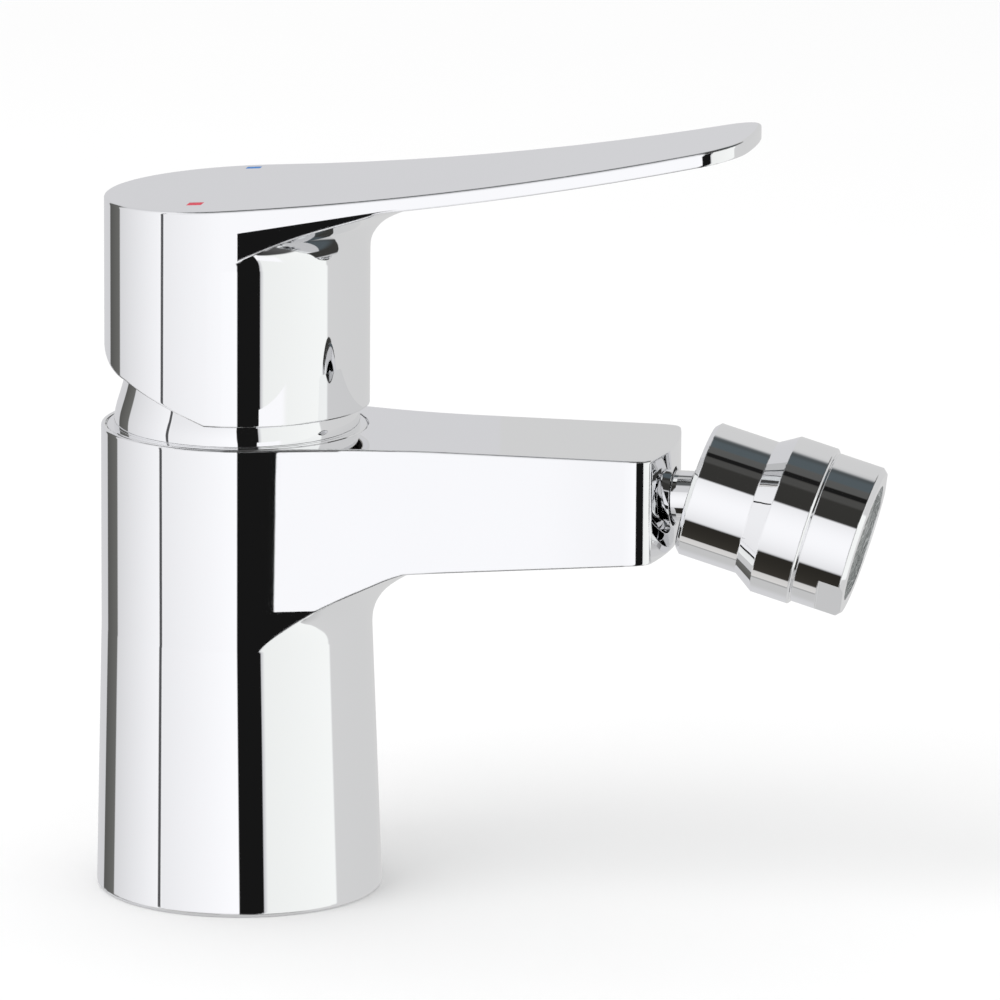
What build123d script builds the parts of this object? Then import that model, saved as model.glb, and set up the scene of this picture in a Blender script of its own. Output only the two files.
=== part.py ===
from build123d import *

import os
from math import cos, radians, sin, sqrt, tan

# Single-lever bidet mixer, millimetres. The origin is the centre of the column's underside,
# +X points along the spout, +Z up, and the user's left (hot) side is -Y.

# Cartridge housing, which sets the sizes across the column, the dome and the cap
housing_d = 34.6
housing_wall = 3.3
housing_neck_wall = 1.6
housing_top_wall = 2.0
flange_rim = 1.5
flange_h = 3.0
nut_margin = 0.6
o_ring_w = 1.5
port_ring_w = 1.2

# Column of the casting
body_wall = 4.2
base_flare = 1.4
base_lead = 0.5
rim_height = 82.2
rim_lip = 0.7
rim_depth = 1.0
rim_edge = 0.35
base_edge = 0.6

# Spout of the casting, measured down from the rim
spout_reach = 77.3
spout_w = 31.6
spout_side_r = 86.0
spout_corner_r = 10.0
spout_corner_turn = 25.0
spout_tip_r = 2.0
spout_end_bow = 1.8
spout_h = 24.8
under_slope = 5.4
root_drop = 10.6
root_reach = 16.0
root_rise = 14.7
spout_axis_depth = 9.2

# Both blends, under the spout and under the lever blade, climb by this law of the distance
blend_power_share = 0.42
blend_point_shares = (0.015, 0.08, 0.25, 0.55, 1.0)

# Hollow foot, with the boss for the fixing stud and the ports in its roof
foot_cavity_wall = 3.6
foot_roof = 20.5
port_x = 2.5
port_spacing = 13.6
hose_port_d = 9.0
hose_port_depth = 14.0
inlet_d = 5.0
stud_x = -12.0
stud_boss_d = 13.0
stud_boss_z = 12.0
stud_hole_d = 6.8
stud_hole_depth = 18.0

# Gasket under the foot
gasket_inset = 1.5
gasket_w = 2.6
gasket_h = 2.0

# Cartridge chamber and the waterway into the spout
ledge_depth = 11.2
chamber_depth = 14.5
waterway_d = 8.0
waterway_rise = 7.0
waterway_lap = 2.6

# Clearances: sliding pieces, running fits and threads, and the overrun of cuts
slip = 0.3
run = 0.05
thread_gap = 0.05
cut_over = 5.0

# Cartridge foot
foot_h = 10.5
foot_wall = 2.4
window_w = 6.4

# Ceramic discs and the driver on top of them
outlet_x = -5.6
outlet_l = 5.0
outlet_w = 10.6
disc_gap = 0.6
fixed_disc_h = 3.5
moving_disc_gap = 0.5
moving_disc_h = 3.0
pocket_x = -3.0
pocket_l = 8.7
pocket_w = 17.6
pocket_r = 4.0
pocket_h = 1.6
driver_h = 4.7
driver_floor = 0.7
driver_flat_w = 14.2
tongue_t = 2.0

# Stem, its pin and the carrier that turns with it
stem_arm = 10.0
lift_range = 25.0
stem_ball_d = 6.0
stem_rod_d = 4.6
stem_hub_d = 8.6
stem_square = 8.0
stem_top = 21.0
stem_chamfer = 0.8
pin_d = 4.0
pin_inset = 0.9
pivot_depth = 2.5
carrier_d = 20.4
carrier_rise = 2.2
slot_side_gap = 0.6
slot_end_gap = 3.0

# Nut, cover ring and dome
nut_hex_h = 4.0
cover_ring_edge = 0.2
dome_inset = 1.2
dome_waist_inset = 1.65
dome_waist_drop = 5.4
dome_top_inset = 5.9
dome_gap = 1.5
dome_wall = 1.2
dome_hole_gap = 0.8

# Lever: a round cap that runs out into a flat blade
cap_inset = 0.6
cap_gap = 3.95
cap_edge = 0.45
cap_wall = 1.3
cap_upper_wall = 3.0
cap_skirt_h = 13.85
cap_h = 37.42
cap_roof = 6.57
blade_reach = 90.7
blade_taper = 6.0
blade_t = 2.5
blade_corner_r = 8.0
blade_tip_bow = 1.6
top_slope_share = 0.0743
top_curve_r = 582.0
blade_root_drop = 10.27
blade_root_reach = 20.0
blade_root_rise = 12.7

# Slanting cut at the back of the cap, which clears the rim as the lever lifts
cut_start_x = -0.6
cut_slope = 21.5
cut_bend_inset = 7.0
cut_mid_inset = 2.5
cut_mid_rise = 8.15
cut_rear_rise = 13.35

# Lever hub, its grub screw and the plug in the rear wall
hub_d = 17.0
rib_w = 9.6
screw_height = 16.0
screw_d = 5.0
screw_length = 9.0
screw_key = 2.5
screw_key_depth = 2.6
plug_d = 5.8

# Hot and cold marks let into the cap
mark_l = 2.6
mark_depth = 0.5
mark_hot_w = 2.6
mark_hot_x = -4.0
mark_hot_inset = 8.2
mark_cold_w = 1.8
mark_cold_x = -1.6
mark_cold_inset = 3.2

# Ball stem in the spout's end
ball_d = 16.0
ball_flat_cut = 1.4
ball_bore = 5.0
stem_neck_d = 9.0
stem_thread_d = 9.8
stem_thread_l = 9.0
recess_gap = 0.7
recess_depth = 1.6
neck_ring_depth = 0.3

# Nozzle shell that swivels on the ball, with lengths along its own axis
nozzle_tilt = 16.0
tilt_limit = 18.0
swivel_gap = 0.4
socket_wall = 2.55
socket_back = 6.4
socket_chamfer = 0.8
socket_front = 4.7
cone_l = 3.4
collar_wall = 2.0
collar_thread_l = 5.1
collar_edge = 0.3
lip_back = 3.3
mouth_flare = 0.6
seal_room = 1.3
seal_share = 0.95
seal_station = 1.9
seat_start_depth = 5.0
seat_end_depth = 1.1
seat_ledge = 2.8
retainer_length = 2.3
retainer_wall = 3.8
retainer_notch = 2.4
retainer_gap = 0.65

# Aerator
thread_d = 24.0
washer_t = 1.8
washer_w = 3.0
ring_flange = 1.35
ring_length = 8.7
ring_chamfer = 0.8
ring_wall = 1.2
ring_lip = 0.5
ring_front_wall = 1.2
flat_cut = 1.35
flat_l = 4.4
flat_turn = -39.0
insert_length = 8.4
insert_wall = 1.3
insert_hole_d = 1.8
insert_hole_circle_d = 11.0
insert_hole_count = 12
mesh_t = 1.0
mesh_hole_d = 1.5
mesh_pitch = 1.95
mesh_rim = 2.0

# Sizes across, worked out from the cartridge housing outwards and inwards
chamber_d = housing_d + 2 * slip
flange_d = housing_d + 2 * flange_rim
nut_thread_d = flange_d + 2 * nut_margin
nut_hex = nut_thread_d * cos(radians(30)) - 2 * slip
body_d = nut_thread_d + 2 * body_wall
body_r = body_d / 2
base_d = body_d + 2 * base_flare
gasket_d = base_d - 2 * gasket_inset
foot_cavity_d = body_d - 2 * foot_cavity_wall
cover_ring_d = body_d - 2 * rim_lip - 2 * slip
cover_ring_bore = nut_thread_d - 2 * thread_gap
dome_d = cover_ring_d - 2 * dome_inset
dome_waist_d = dome_d - 2 * dome_waist_inset
dome_top_d = dome_d - 2 * dome_top_inset
dome_hole_d = carrier_d + 2 * dome_hole_gap
cap_d = body_d - 2 * cap_inset
cap_r = cap_d / 2
cap_bore = cap_d - 2 * cap_wall
cap_bore_upper = cap_d - 2 * cap_upper_wall
housing_bore = housing_d - 2 * housing_wall
housing_neck_d = housing_bore + 2 * housing_neck_wall
fixed_disc_d = housing_bore - 2 * disc_gap
stem_lean = lift_range / 2
disc_travel = stem_arm * sin(radians(stem_lean))
moving_disc_d = housing_bore - 2 * disc_travel - 2 * moving_disc_gap
disc_rest_x = -disc_travel
carrier_slot_w = stem_square + 2 * slot_side_gap
carrier_slot_l = stem_square + 2 * slot_end_gap
pin_length = carrier_d - 2 * pin_inset
tongue_y = driver_flat_w / 2 + slip + tongue_t / 2

# Heights, down from the rim to the chamber's floor and up through the cartridge to the cap
counterbore_z = rim_height - rim_depth
ledge_z = rim_height - ledge_depth
chamber_z = ledge_z - chamber_depth
foot_cavity_h = chamber_z - foot_roof
under_z = rim_height - spout_h
root_z = under_z - root_drop
foot_top_z = chamber_z + foot_h
fixed_top_z = foot_top_z + fixed_disc_h
moving_top_z = fixed_top_z + moving_disc_h
driver_top_z = moving_top_z + driver_h
flange_top_z = ledge_z + flange_h
nut_top_z = counterbore_z + nut_hex_h
pivot_z = moving_top_z + driver_floor + slip + stem_ball_d / 2 + stem_arm
housing_top_z = pivot_z + pivot_depth
carrier_z = driver_top_z + slip
carrier_shoulder_z = housing_top_z - housing_top_wall - slip
carrier_top_z = housing_top_z + carrier_rise
dome_top_z = carrier_top_z + dome_gap + dome_wall
dome_waist_z = dome_top_z - dome_waist_drop
cap_bottom_z = rim_height + cap_gap
top_z = cap_bottom_z + cap_h
cap_bore_z = cap_bottom_z + cap_skirt_h
cap_ceiling_z = top_z - cap_roof
blade_root_z = top_z - blade_root_drop

# Spout outline, lever outline, and the cut at the cap's back
spout_half = spout_w / 2
side_centre_y = spout_half + spout_side_r
side_centre_x = sqrt((body_r + spout_side_r) ** 2 - side_centre_y**2)
side_start_x = side_centre_x * body_r / (body_r + spout_side_r)
side_start_y = side_centre_y * body_r / (body_r + spout_side_r)
corner_end_x = spout_reach - spout_end_bow
corner_start_x = corner_end_x - spout_corner_r * sin(radians(spout_corner_turn))
corner_end_y = spout_half - spout_corner_r * (1 - cos(radians(spout_corner_turn)))
taper_x = cap_r * sin(radians(blade_taper))
taper_y = cap_r * cos(radians(blade_taper))
blade_end_x = blade_reach - blade_tip_bow
blade_end_y = taper_y - (blade_end_x - taper_x) * tan(radians(blade_taper))
cut_bend_x = cut_bend_inset - cap_r
cut_bend_z = cap_bottom_z + (cut_start_x - cut_bend_x) * tan(radians(cut_slope))
mark_hot_y = mark_hot_inset - cap_r
mark_cold_y = cap_r - mark_cold_inset

# Along the stem: the hub and its rib clear the dome when the lever is fully lifted
dome_clear = dome_top_z + slip - pivot_z
hub_start = (dome_clear + hub_d / 2 * sin(radians(stem_lean))) / cos(radians(stem_lean))
rib_start = dome_clear * cos(radians(stem_lean)) + dome_top_d / 2 * sin(radians(stem_lean))

# Ball joint: the shell's rear edge clears the spout's end at the tilt's limit
ball_r = ball_d / 2
ball_seat_r = ball_r + run
ball_z = rim_height - spout_axis_depth
socket_bore = ball_d + 2 * seal_room
socket_d = socket_bore + 2 * socket_wall
socket_rear_r = socket_d / 2 - socket_chamfer
ball_reach = (
    socket_back * cos(radians(tilt_limit)) + socket_rear_r * sin(radians(tilt_limit)) + swivel_gap
)
ball_x = spout_reach + ball_reach
mouth_d = ball_d + 2 * mouth_flare
recess_d = stem_neck_d + 2 * recess_gap
thread_floor_x = spout_reach - recess_depth - stem_thread_l
waterway_inner_x = chamber_d / 2 - waterway_lap
waterway_inner_z = chamber_z + waterway_rise

# Stations along the nozzle's axis, from the ball's centre
seat_start = ball_r - seat_start_depth
seat_end = ball_r - seat_end_depth
seat_bore = ball_d - 2 * seat_ledge
retainer_bore = socket_bore - 2 * retainer_wall
thread_start = seat_end + run + retainer_length + retainer_gap
cone_end = socket_front + cone_l
collar_d = thread_d + 2 * collar_wall
collar_end = thread_start + collar_thread_l
washer_bore = thread_d - 2 * washer_w
ring_d = thread_d + 2 * ring_flange
ring_bore = thread_d - 2 * ring_wall
ring_front_bore = ring_bore - 2 * ring_lip
ring_start = collar_end + slip
ring_end = ring_start + ring_length
ring_step = ring_end - ring_front_wall
flat_across = ring_d - 2 * flat_cut
insert_end = ring_step - mesh_t
mesh_field_d = ring_bore - 2 * mesh_rim

stem_plane = Plane(
    origin=(0, 0, pivot_z),
    x_dir=(cos(radians(stem_lean)), 0, -sin(radians(stem_lean))),
    z_dir=(sin(radians(stem_lean)), 0, cos(radians(stem_lean))),
)
screw_plane = Plane(
    origin=stem_plane.offset(screw_height).origin,
    x_dir=(0, 1, 0),
    z_dir=-stem_plane.x_dir,
)
nozzle_plane = Plane(
    origin=(ball_x, 0, ball_z),
    x_dir=(0, 1, 0),
    z_dir=(cos(radians(nozzle_tilt)), 0, -sin(radians(nozzle_tilt))),
)
nozzle_side = Plane(origin=nozzle_plane.origin, x_dir=nozzle_plane.z_dir, z_dir=(0, -1, 0))
nozzle_axis = Axis(nozzle_plane.origin, nozzle_plane.z_dir)
spout_end = Plane(origin=(spout_reach, 0, ball_z), x_dir=(0, 1, 0), z_dir=(-1, 0, 0))
ball_side = Plane(origin=(ball_x, 0, ball_z), x_dir=(1, 0, 0), z_dir=(0, -1, 0))
ball_axis = Axis((ball_x, 0, ball_z), (1, 0, 0))
waterway_run = Vector(waterway_inner_x - thread_floor_x, 0, waterway_inner_z - ball_z)
waterway = Plane(origin=(thread_floor_x, 0, ball_z), x_dir=(0, 1, 0), z_dir=waterway_run)


def lever_top(x):
    """Height of the lever's top surface at x, a long shallow curve."""
    return top_z + top_slope_share * x + x**2 / (2 * top_curve_r)


def blend_points(radius, z, reach, rise):
    """Points of a blend that leaves a round wall upright and runs out level."""
    points = [(radius, z)]
    for share in blend_point_shares:
        points.append((radius + reach * share, z + rise * share**blend_power_share))
    return points


def on_ball(radius):
    """Station, behind or before the ball's centre, where its seat has this radius."""
    return sqrt(ball_seat_r**2 - radius**2)


def finish(part, name):
    """Label a finished piece and write it as one STEP file."""
    part.label = name
    export_step(part, f"parts/{name}.step")


os.makedirs("parts", exist_ok=True)

# Space under the spout: all that is below the sloping underside and outside the blended column
with BuildPart() as under_spout:
    with BuildSketch(Plane.XZ.offset(-body_d)):
        with BuildLine():
            Polyline(
                (0, root_z),
                (spout_reach + cut_over, root_z),
                (spout_reach + cut_over, under_z + spout_reach * tan(radians(under_slope))),
                (0, under_z),
                close=True,
            )
        make_face()
    extrude(amount=2 * body_d)
    with BuildSketch(Plane.XZ):
        with BuildLine():
            blend = Spline(
                *blend_points(body_r, root_z, root_reach, root_rise),
                tangents=((0, 1), (root_reach, root_rise * blend_power_share)),
            )
            Polyline(
                blend @ 1,
                (body_r + root_reach, rim_height),
                (0, rim_height),
                (0, root_z),
                (body_r, root_z),
            )
        make_face()
    revolve(axis=Axis.Z, mode=Mode.SUBTRACT)

# Upper part of the casting: the round column and the spout, whose plan has two long arcs,
# two turned corners and a slightly bowed end
with BuildPart() as spout_form:
    with BuildSketch(Plane.XY.offset(root_z)) as spout_plan:
        with BuildLine():
            side = RadiusArc(
                (side_start_x, -side_start_y), (side_centre_x, -spout_half), spout_side_r
            )
            flank = Line(side @ 1, (corner_start_x, -spout_half))
            corner = RadiusArc(flank @ 1, (corner_end_x, -corner_end_y), -spout_corner_r)
            ThreePointArc(corner @ 1, (spout_reach, 0), (corner_end_x, corner_end_y))
            mirror([side, flank, corner], about=Plane.XZ)
            ThreePointArc((side_start_x, side_start_y), (-body_r, 0), side @ 0)
        make_face()
        fillet(spout_plan.vertices().sort_by(Axis.X)[-2:], spout_tip_r)
    extrude(amount=rim_height - root_z)
    fillet(spout_form.faces().sort_by(Axis.Z)[-1].edges(), rim_edge)
    add(under_spout.part, mode=Mode.SUBTRACT)

# Casting: column, spout, hollow foot, chamber and waterways in one piece
with BuildPart() as body_casting:
    with BuildSketch(Plane.XY):
        with Locations((base_lead, 0)):
            Circle(base_d / 2)
    with BuildSketch(Plane.XY.offset(root_z)):
        Circle(body_r)
    loft()
    chamfer(body_casting.faces().sort_by(Axis.Z)[0].edges(), base_edge)
    add(spout_form.part)
    # Rim, thread for the nut, ledge and chamber
    with BuildSketch(Plane.XY.offset(rim_height)):
        Circle(body_r - rim_lip)
    extrude(amount=-rim_depth, mode=Mode.SUBTRACT)
    with BuildSketch(Plane.XY.offset(ledge_z)):
        Circle(nut_thread_d / 2)
    extrude(amount=rim_height - ledge_z, mode=Mode.SUBTRACT)
    with BuildSketch(Plane.XY.offset(chamber_z)):
        Circle(chamber_d / 2)
    extrude(amount=ledge_z - chamber_z, mode=Mode.SUBTRACT)
    # Hollow foot with the boss for the fixing stud
    with BuildSketch(Plane.XY):
        Circle(foot_cavity_d / 2)
    extrude(amount=foot_cavity_h, mode=Mode.SUBTRACT)
    with BuildSketch(Plane.XY.offset(stud_boss_z)):
        with Locations((stud_x, 0)):
            Circle(stud_boss_d / 2)
    extrude(amount=foot_cavity_h - stud_boss_z)
    with BuildSketch(Plane.XY.offset(stud_boss_z)):
        with Locations((stud_x, 0)):
            Circle(stud_hole_d / 2)
    extrude(amount=stud_hole_depth, mode=Mode.SUBTRACT)
    # Hose ports in the roof of the foot, each running up to a cartridge inlet
    with BuildSketch(Plane.XY.offset(foot_cavity_h)):
        with GridLocations(0, port_spacing, 1, 2):
            with Locations((port_x, 0)):
                Circle(hose_port_d / 2)
    extrude(amount=hose_port_depth, mode=Mode.SUBTRACT)
    with BuildSketch(Plane.XY.offset(foot_cavity_h)):
        with GridLocations(0, port_spacing, 1, 2):
            with Locations((port_x, 0)):
                Circle(inlet_d / 2)
    extrude(amount=chamber_z - foot_cavity_h, mode=Mode.SUBTRACT)
    # Groove for the foot gasket
    with BuildSketch(Plane.XY):
        Circle(gasket_d / 2)
        Circle(gasket_d / 2 - gasket_w, mode=Mode.SUBTRACT)
    extrude(amount=gasket_h, mode=Mode.SUBTRACT)
    # Threaded seat for the ball stem, its recess, and the waterway from the chamber
    with BuildSketch(spout_end):
        Circle(recess_d / 2)
    extrude(amount=recess_depth, mode=Mode.SUBTRACT)
    with BuildSketch(spout_end):
        Circle(stem_thread_d / 2 + thread_gap)
    extrude(amount=recess_depth + stem_thread_l, mode=Mode.SUBTRACT)
    with BuildSketch(waterway):
        Circle(waterway_d / 2)
    extrude(amount=waterway_run.length, mode=Mode.SUBTRACT)
finish(body_casting.part, "body_casting")

with BuildPart() as base_gasket:
    with BuildSketch(Plane.XY):
        Circle(gasket_d / 2)
        Circle(gasket_d / 2 - gasket_w, mode=Mode.SUBTRACT)
    extrude(amount=gasket_h)
finish(base_gasket.part, "base_gasket")

# Cartridge foot: two inlets straight through, and an outlet that turns to the spout's side
with BuildPart() as cartridge_foot:
    with BuildSketch(Plane.XY.offset(chamber_z)):
        Circle(housing_d / 2)
    extrude(amount=foot_h)
    with BuildSketch(Plane.XY.offset(chamber_z)):
        with GridLocations(0, port_spacing, 1, 2):
            with Locations((port_x, 0)):
                Circle(inlet_d / 2)
    extrude(amount=foot_h, mode=Mode.SUBTRACT)
    with BuildSketch(Plane.XY.offset(chamber_z + foot_wall)):
        with Locations((outlet_x - outlet_l / 2, 0)):
            Rectangle(housing_d, window_w, align=(Align.MIN, Align.CENTER))
    extrude(amount=foot_h - 2 * foot_wall, mode=Mode.SUBTRACT)
    with BuildSketch(Plane.XY.offset(foot_top_z)):
        with Locations((outlet_x, 0)):
            Rectangle(outlet_l, window_w)
    extrude(amount=-foot_wall, mode=Mode.SUBTRACT)
    # Grooves for the seals below and above
    for groove_z, groove_rise in ((chamber_z, port_ring_w), (foot_top_z, -port_ring_w)):
        with BuildSketch(Plane.XY.offset(groove_z)):
            with GridLocations(0, port_spacing, 1, 2):
                with Locations((port_x, 0)):
                    Circle(inlet_d / 2 + port_ring_w)
        extrude(amount=groove_rise, mode=Mode.SUBTRACT)
finish(cartridge_foot.part, "cartridge_foot")

# Seals round the inlets, below and above the cartridge foot
for seal_name, seal_z in (("port_seals", chamber_z), ("disc_seals", foot_top_z - port_ring_w)):
    with BuildPart() as seal_pair:
        with BuildSketch(Plane.XY.offset(seal_z)):
            with GridLocations(0, port_spacing, 1, 2):
                with Locations((port_x, 0)):
                    Circle(inlet_d / 2 + port_ring_w)
                    Circle(inlet_d / 2, mode=Mode.SUBTRACT)
        extrude(amount=port_ring_w)
    finish(seal_pair.part, seal_name)

with BuildPart() as fixed_disc:
    with BuildSketch(Plane.XY.offset(foot_top_z)):
        Circle(fixed_disc_d / 2)
        with GridLocations(0, port_spacing, 1, 2):
            with Locations((port_x, 0)):
                Circle(inlet_d / 2, mode=Mode.SUBTRACT)
        with Locations((outlet_x, 0)):
            Rectangle(outlet_l, outlet_w, mode=Mode.SUBTRACT)
    extrude(amount=fixed_disc_h)
finish(fixed_disc.part, "fixed_disc")

# Moving disc with the mixing pocket in its lapped underside
with BuildPart() as moving_disc:
    with BuildSketch(Plane.XY.offset(fixed_top_z)):
        with Locations((disc_rest_x, 0)):
            Circle(moving_disc_d / 2)
    extrude(amount=moving_disc_h)
    with BuildSketch(Plane.XY.offset(fixed_top_z)):
        with Locations((disc_rest_x + pocket_x, 0)):
            RectangleRounded(pocket_l, pocket_w, pocket_r)
    extrude(amount=pocket_h, mode=Mode.SUBTRACT)
finish(moving_disc.part, "moving_disc")

with BuildPart() as disc_driver:
    with BuildSketch(Plane.XY.offset(moving_top_z)):
        with Locations((disc_rest_x, 0)):
            Circle(moving_disc_d / 2)
            Rectangle(moving_disc_d, driver_flat_w, mode=Mode.INTERSECT)
    extrude(amount=driver_h)
    with BuildSketch(Plane.XY.offset(driver_top_z)):
        with Locations((disc_rest_x, 0)):
            Circle(stem_ball_d / 2 + slip)
    extrude(amount=driver_floor - driver_h, mode=Mode.SUBTRACT)
finish(disc_driver.part, "disc_driver")

# Cartridge housing: a flanged shell with a narrower neck that holds the carrier down
with BuildPart() as cartridge_housing:
    with BuildSketch(Plane.XY.offset(foot_top_z)):
        Circle(housing_d / 2)
    extrude(amount=ledge_z - foot_top_z)
    with BuildSketch(Plane.XY.offset(ledge_z)):
        Circle(flange_d / 2)
    extrude(amount=flange_h)
    with BuildSketch(Plane.XY.offset(flange_top_z)):
        Circle(housing_neck_d / 2)
    extrude(amount=housing_top_z - flange_top_z)
    chamfer(cartridge_housing.faces().sort_by(Axis.Z)[-1].edges(), housing_top_wall / 2)
    with BuildSketch(Plane.XY.offset(foot_top_z)):
        Circle(housing_bore / 2)
    extrude(amount=housing_top_z - housing_top_wall - foot_top_z, mode=Mode.SUBTRACT)
    with BuildSketch(Plane.XY.offset(housing_top_z)):
        Circle(carrier_d / 2 + run)
    extrude(amount=-housing_top_wall, mode=Mode.SUBTRACT)
    # Groove for the chamber seal, under the flange
    with BuildSketch(Plane.XY.offset(ledge_z)):
        Circle(housing_d / 2)
        Circle(chamber_d / 2 - o_ring_w, mode=Mode.SUBTRACT)
    extrude(amount=-o_ring_w, mode=Mode.SUBTRACT)
finish(cartridge_housing.part, "cartridge_housing")

with BuildPart() as housing_o_ring:
    with BuildSketch(Plane.XZ):
        with Locations(((chamber_d - o_ring_w) / 2, ledge_z - o_ring_w / 2)):
            Circle(o_ring_w / 2)
    revolve(axis=Axis.Z)
finish(housing_o_ring.part, "housing_o_ring")

# Carrier: turns with the lever, holds the stem's pin and steers the driver with two tongues
with BuildPart() as stem_carrier:
    with BuildSketch(Plane.XY.offset(carrier_z)):
        Circle(housing_bore / 2 - slip)
    extrude(amount=carrier_shoulder_z - carrier_z)
    with BuildSketch(Plane.XY.offset(carrier_z)):
        Circle(carrier_d / 2)
    extrude(amount=carrier_top_z - carrier_z)
    with BuildSketch(Plane.XY.offset(carrier_z)):
        with GridLocations(0, 2 * tongue_y, 1, 2):
            Rectangle(carrier_slot_l, tongue_t)
    extrude(amount=moving_top_z + slip - carrier_z)
    with BuildSketch(Plane.XY.offset(carrier_top_z)):
        Rectangle(carrier_slot_l, carrier_slot_w)
    extrude(amount=carrier_z - carrier_top_z, mode=Mode.SUBTRACT)
    with BuildSketch(Plane.XZ.offset(-pin_length / 2)):
        with Locations((0, pivot_z)):
            Circle(pin_d / 2)
    extrude(amount=pin_length, mode=Mode.SUBTRACT)
finish(stem_carrier.part, "stem_carrier")

with BuildPart() as stem_pin:
    with BuildSketch(Plane.XZ.offset(-pin_length / 2)):
        with Locations((0, pivot_z)):
            Circle(pin_d / 2)
    extrude(amount=pin_length)
finish(stem_pin.part, "stem_pin")

# Stem: a ball at the lower end, an eye for the pin, and the square that the lever sits on
with BuildPart() as cartridge_stem:
    with BuildSketch(stem_plane.offset(-stem_arm)):
        Circle(stem_rod_d / 2)
    extrude(amount=stem_arm)
    with Locations(stem_plane.offset(-stem_arm)):
        Sphere(stem_ball_d / 2)
    with BuildSketch(Plane.XZ.offset(-stem_square / 2)):
        with Locations((0, pivot_z)):
            Circle(stem_hub_d / 2)
    extrude(amount=stem_square)
    with BuildSketch(stem_plane):
        Rectangle(stem_square, stem_square)
    extrude(amount=stem_top)
    top_edges = cartridge_stem.faces().sort_by(Axis(stem_plane.origin, stem_plane.z_dir))[-1]
    chamfer(top_edges.edges(), stem_chamfer)
    with BuildSketch(Plane.XZ.offset(-stem_square)):
        with Locations((0, pivot_z)):
            Circle(pin_d / 2 + run)
    extrude(amount=2 * stem_square, mode=Mode.SUBTRACT)
finish(cartridge_stem.part, "cartridge_stem")

# Nut that clamps the cartridge: a threaded sleeve with a hexagon on top
with BuildPart() as cartridge_nut:
    with BuildSketch(Plane.XY.offset(flange_top_z)):
        Circle(nut_thread_d / 2 - thread_gap)
    extrude(amount=counterbore_z - flange_top_z)
    with BuildSketch(Plane.XY.offset(counterbore_z)):
        RegularPolygon(nut_hex / 2, 6, major_radius=False)
    extrude(amount=nut_top_z - counterbore_z)
    with BuildSketch(Plane.XY.offset(flange_top_z)):
        Circle(housing_neck_d / 2 + slip / 2)
    extrude(amount=nut_top_z - flange_top_z, mode=Mode.SUBTRACT)
finish(cartridge_nut.part, "cartridge_nut")

with BuildPart() as cover_ring:
    with BuildSketch(Plane.XY.offset(counterbore_z)):
        Circle(cover_ring_d / 2)
    extrude(amount=rim_depth)
    chamfer(cover_ring.faces().sort_by(Axis.Z)[-1].edges(), cover_ring_edge)
    with BuildSketch(Plane.XY.offset(counterbore_z)):
        Circle(cover_ring_bore / 2)
    extrude(amount=rim_depth, mode=Mode.SUBTRACT)
finish(cover_ring.part, "cover_ring")

# Dome over the nut, a thin shell of revolution that rises upright from the rim
with BuildPart() as dome_cover:
    with BuildSketch(Plane.XZ):
        with BuildLine():
            outer = Spline(
                (dome_d / 2, rim_height),
                (dome_waist_d / 2, dome_waist_z),
                (dome_top_d / 2, dome_top_z),
                tangents=((0, 1), (-1, 0)),
            )
            inner = Spline(
                (dome_d / 2 - dome_wall, rim_height),
                (dome_waist_d / 2 - dome_wall, dome_waist_z - dome_wall / 2),
                (dome_top_d / 2, dome_top_z - dome_wall),
                tangents=((0, 1), (-1, 0)),
            )
            Polyline(
                outer @ 1,
                (dome_hole_d / 2, dome_top_z),
                (dome_hole_d / 2, dome_top_z - dome_wall),
                inner @ 1,
            )
            Line(inner @ 0, outer @ 0)
        make_face()
    revolve(axis=Axis.Z)
finish(dome_cover.part, "dome_cover")

# Air over the lever's top surface
with BuildPart() as over_lever:
    with BuildSketch(Plane.XZ.offset(-body_d)):
        with BuildLine():
            ridge = Spline(
                *[(x, lever_top(x)) for x in (-body_d, 0, blade_reach / 2, blade_reach + cut_over)]
            )
            Polyline(
                ridge @ 1,
                (blade_reach + cut_over, 2 * top_z),
                (-body_d, 2 * top_z),
                ridge @ 0,
            )
        make_face()
    extrude(amount=2 * body_d)

# Air under the blade: all that is below its underside and outside the blended cap
with BuildPart() as under_lever:
    with BuildSketch(Plane.XZ.offset(-body_d)):
        with BuildLine():
            belly = Spline(
                *[
                    (x, lever_top(x) - blade_t)
                    for x in (0, blade_reach / 3, 2 * blade_reach / 3, blade_reach + cut_over)
                ]
            )
            Polyline(
                belly @ 1,
                (blade_reach + cut_over, cap_bottom_z - 2 * cut_over),
                (0, cap_bottom_z - 2 * cut_over),
                belly @ 0,
            )
        make_face()
    extrude(amount=2 * body_d)
    with BuildSketch(Plane.XZ):
        with BuildLine():
            root = Spline(
                *blend_points(cap_r, blade_root_z, blade_root_reach, blade_root_rise),
                tangents=((0, 1), (blade_root_reach, blade_root_rise * blend_power_share)),
            )
            Polyline(
                root @ 1,
                (cap_r + blade_root_reach, 2 * top_z),
                (0, 2 * top_z),
                (0, 0),
                (cap_r, 0),
                (cap_r, blade_root_z),
            )
        make_face()
    revolve(axis=Axis.Z, mode=Mode.SUBTRACT)

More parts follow.
